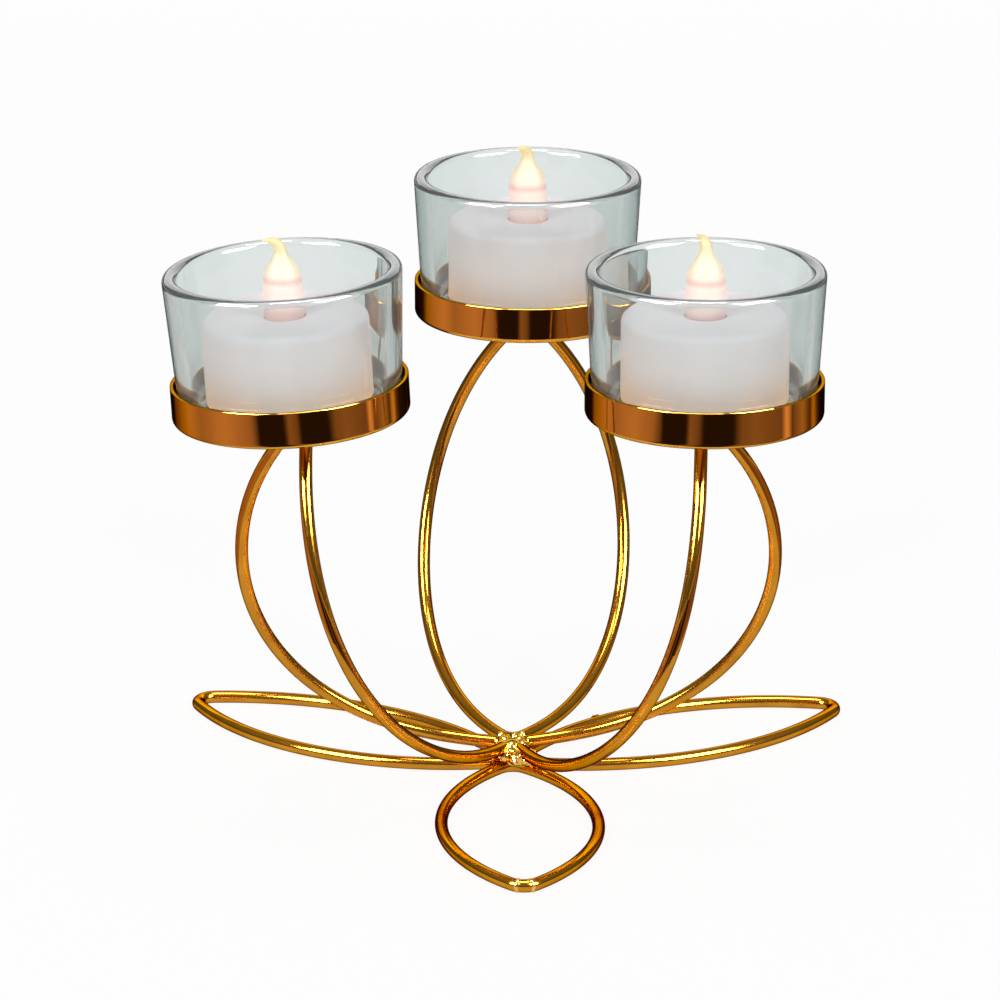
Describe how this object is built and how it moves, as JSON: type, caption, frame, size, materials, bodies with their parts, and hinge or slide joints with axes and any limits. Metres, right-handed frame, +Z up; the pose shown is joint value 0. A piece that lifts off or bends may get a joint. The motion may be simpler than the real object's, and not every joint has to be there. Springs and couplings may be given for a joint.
{
  "type": "candle holder",
  "caption": "Wire candle holder: leaf-shaped base loops and upright petals carry round trays with clear glass cups and electric tealights.",
  "frame": {"origin": "on the table, on the axis of the hub where the loops meet", "axes": "+Z up, +X to the holder's right, +Y to its back"},
  "size_m": [0.1586, 0.16, 0.1392],
  "materials": {
    "gold_wire": "bright gold electroplate on steel wire",
    "gold_tray": "bright gold electroplate on stamped steel",
    "weld_bead": "plated lumpy weld",
    "clear_glass": "clear pressed glass, fire polished",
    "white_casing": "moulded, fine satin",
    "white_base": "moulded, satin",
    "flame_cap": "translucent moulded cap, lit",
    "diode_epoxy": "clear epoxy",
    "cell_steel": "bright nickel plated",
    "contact_metal": "spring strip, plain",
    "black_knob": "moulded, ribbed"
  },
  "bodies": {
    "stand": {"left_base_loop": "gold_wire", "right_base_loop": "gold_wire", "front_base_loop": "gold_wire", "left_petal": "gold_wire", "back_petal": "gold_wire", "right_petal": "gold_wire", "hub_weld": "weld_bead", "left_tray": "gold_tray", "left_tray_weld": "weld_bead", "back_tray": "gold_tray", "back_tray_weld": "weld_bead", "right_tray": "gold_tray", "right_tray_weld": "weld_bead"},
    "left_glass": {"left_glass": "clear_glass"},
    "left_candle": {"left_candle_shell": "white_casing", "left_base_cover": "white_base", "left_battery_door": "white_base", "left_coin_cell": "cell_steel", "left_negative_contact": "contact_metal", "left_positive_contact": "contact_metal", "left_led": "diode_epoxy", "left_flame": "flame_cap"},
    "left_switch": {"left_switch_knob": "black_knob", "left_switch_wiper": "contact_metal"},
    "back_glass": {"back_glass": "clear_glass"},
    "back_candle": {"back_candle_shell": "white_casing", "back_base_cover": "white_base", "back_battery_door": "white_base", "back_coin_cell": "cell_steel", "back_negative_contact": "contact_metal", "back_positive_contact": "contact_metal", "back_led": "diode_epoxy", "back_flame": "flame_cap"},
    "back_switch": {"back_switch_knob": "black_knob", "back_switch_wiper": "contact_metal"},
    "right_glass": {"right_glass": "clear_glass"},
    "right_candle": {"right_candle_shell": "white_casing", "right_base_cover": "white_base", "right_battery_door": "white_base", "right_coin_cell": "cell_steel", "right_negative_contact": "contact_metal", "right_positive_contact": "contact_metal", "right_led": "diode_epoxy", "right_flame": "flame_cap"},
    "right_switch": {"right_switch_knob": "black_knob", "right_switch_wiper": "contact_metal"}
  },
  "joints": [
    {"name": "left_glass_lift", "type": "slide", "parent": "stand", "child": "left_glass", "axis": [-0.0541, 0, 0.9985], "range_m": [0, 0.045]},
    {"name": "left_candle_lift", "type": "slide", "parent": "left_glass", "child": "left_candle", "axis": [-0.0541, 0, 0.9985], "range_m": [0, 0.045]},
    {"name": "left_switch_slide", "type": "slide", "parent": "left_candle", "child": "left_switch", "axis": [0, 1, 0], "range_m": [-0.003, 0]},
    {"name": "back_glass_lift", "type": "slide", "parent": "stand", "child": "back_glass", "axis": [0, 0, 1], "range_m": [0, 0.045]},
    {"name": "back_candle_lift", "type": "slide", "parent": "back_glass", "child": "back_candle", "axis": [0, 0, 1], "range_m": [0, 0.045]},
    {"name": "back_switch_slide", "type": "slide", "parent": "back_candle", "child": "back_switch", "axis": [-0.766, 0.6428, 0], "range_m": [-0.003, 0]},
    {"name": "right_glass_lift", "type": "slide", "parent": "stand", "child": "right_glass", "axis": [0, 0, 1], "range_m": [0, 0.045]},
    {"name": "right_candle_lift", "type": "slide", "parent": "right_glass", "child": "right_candle", "axis": [0, 0, 1], "range_m": [0, 0.045]},
    {"name": "right_switch_slide", "type": "slide", "parent": "right_candle", "child": "right_switch", "axis": [0.866, 0.5, 0], "range_m": [-0.003, 0]}
  ]
}
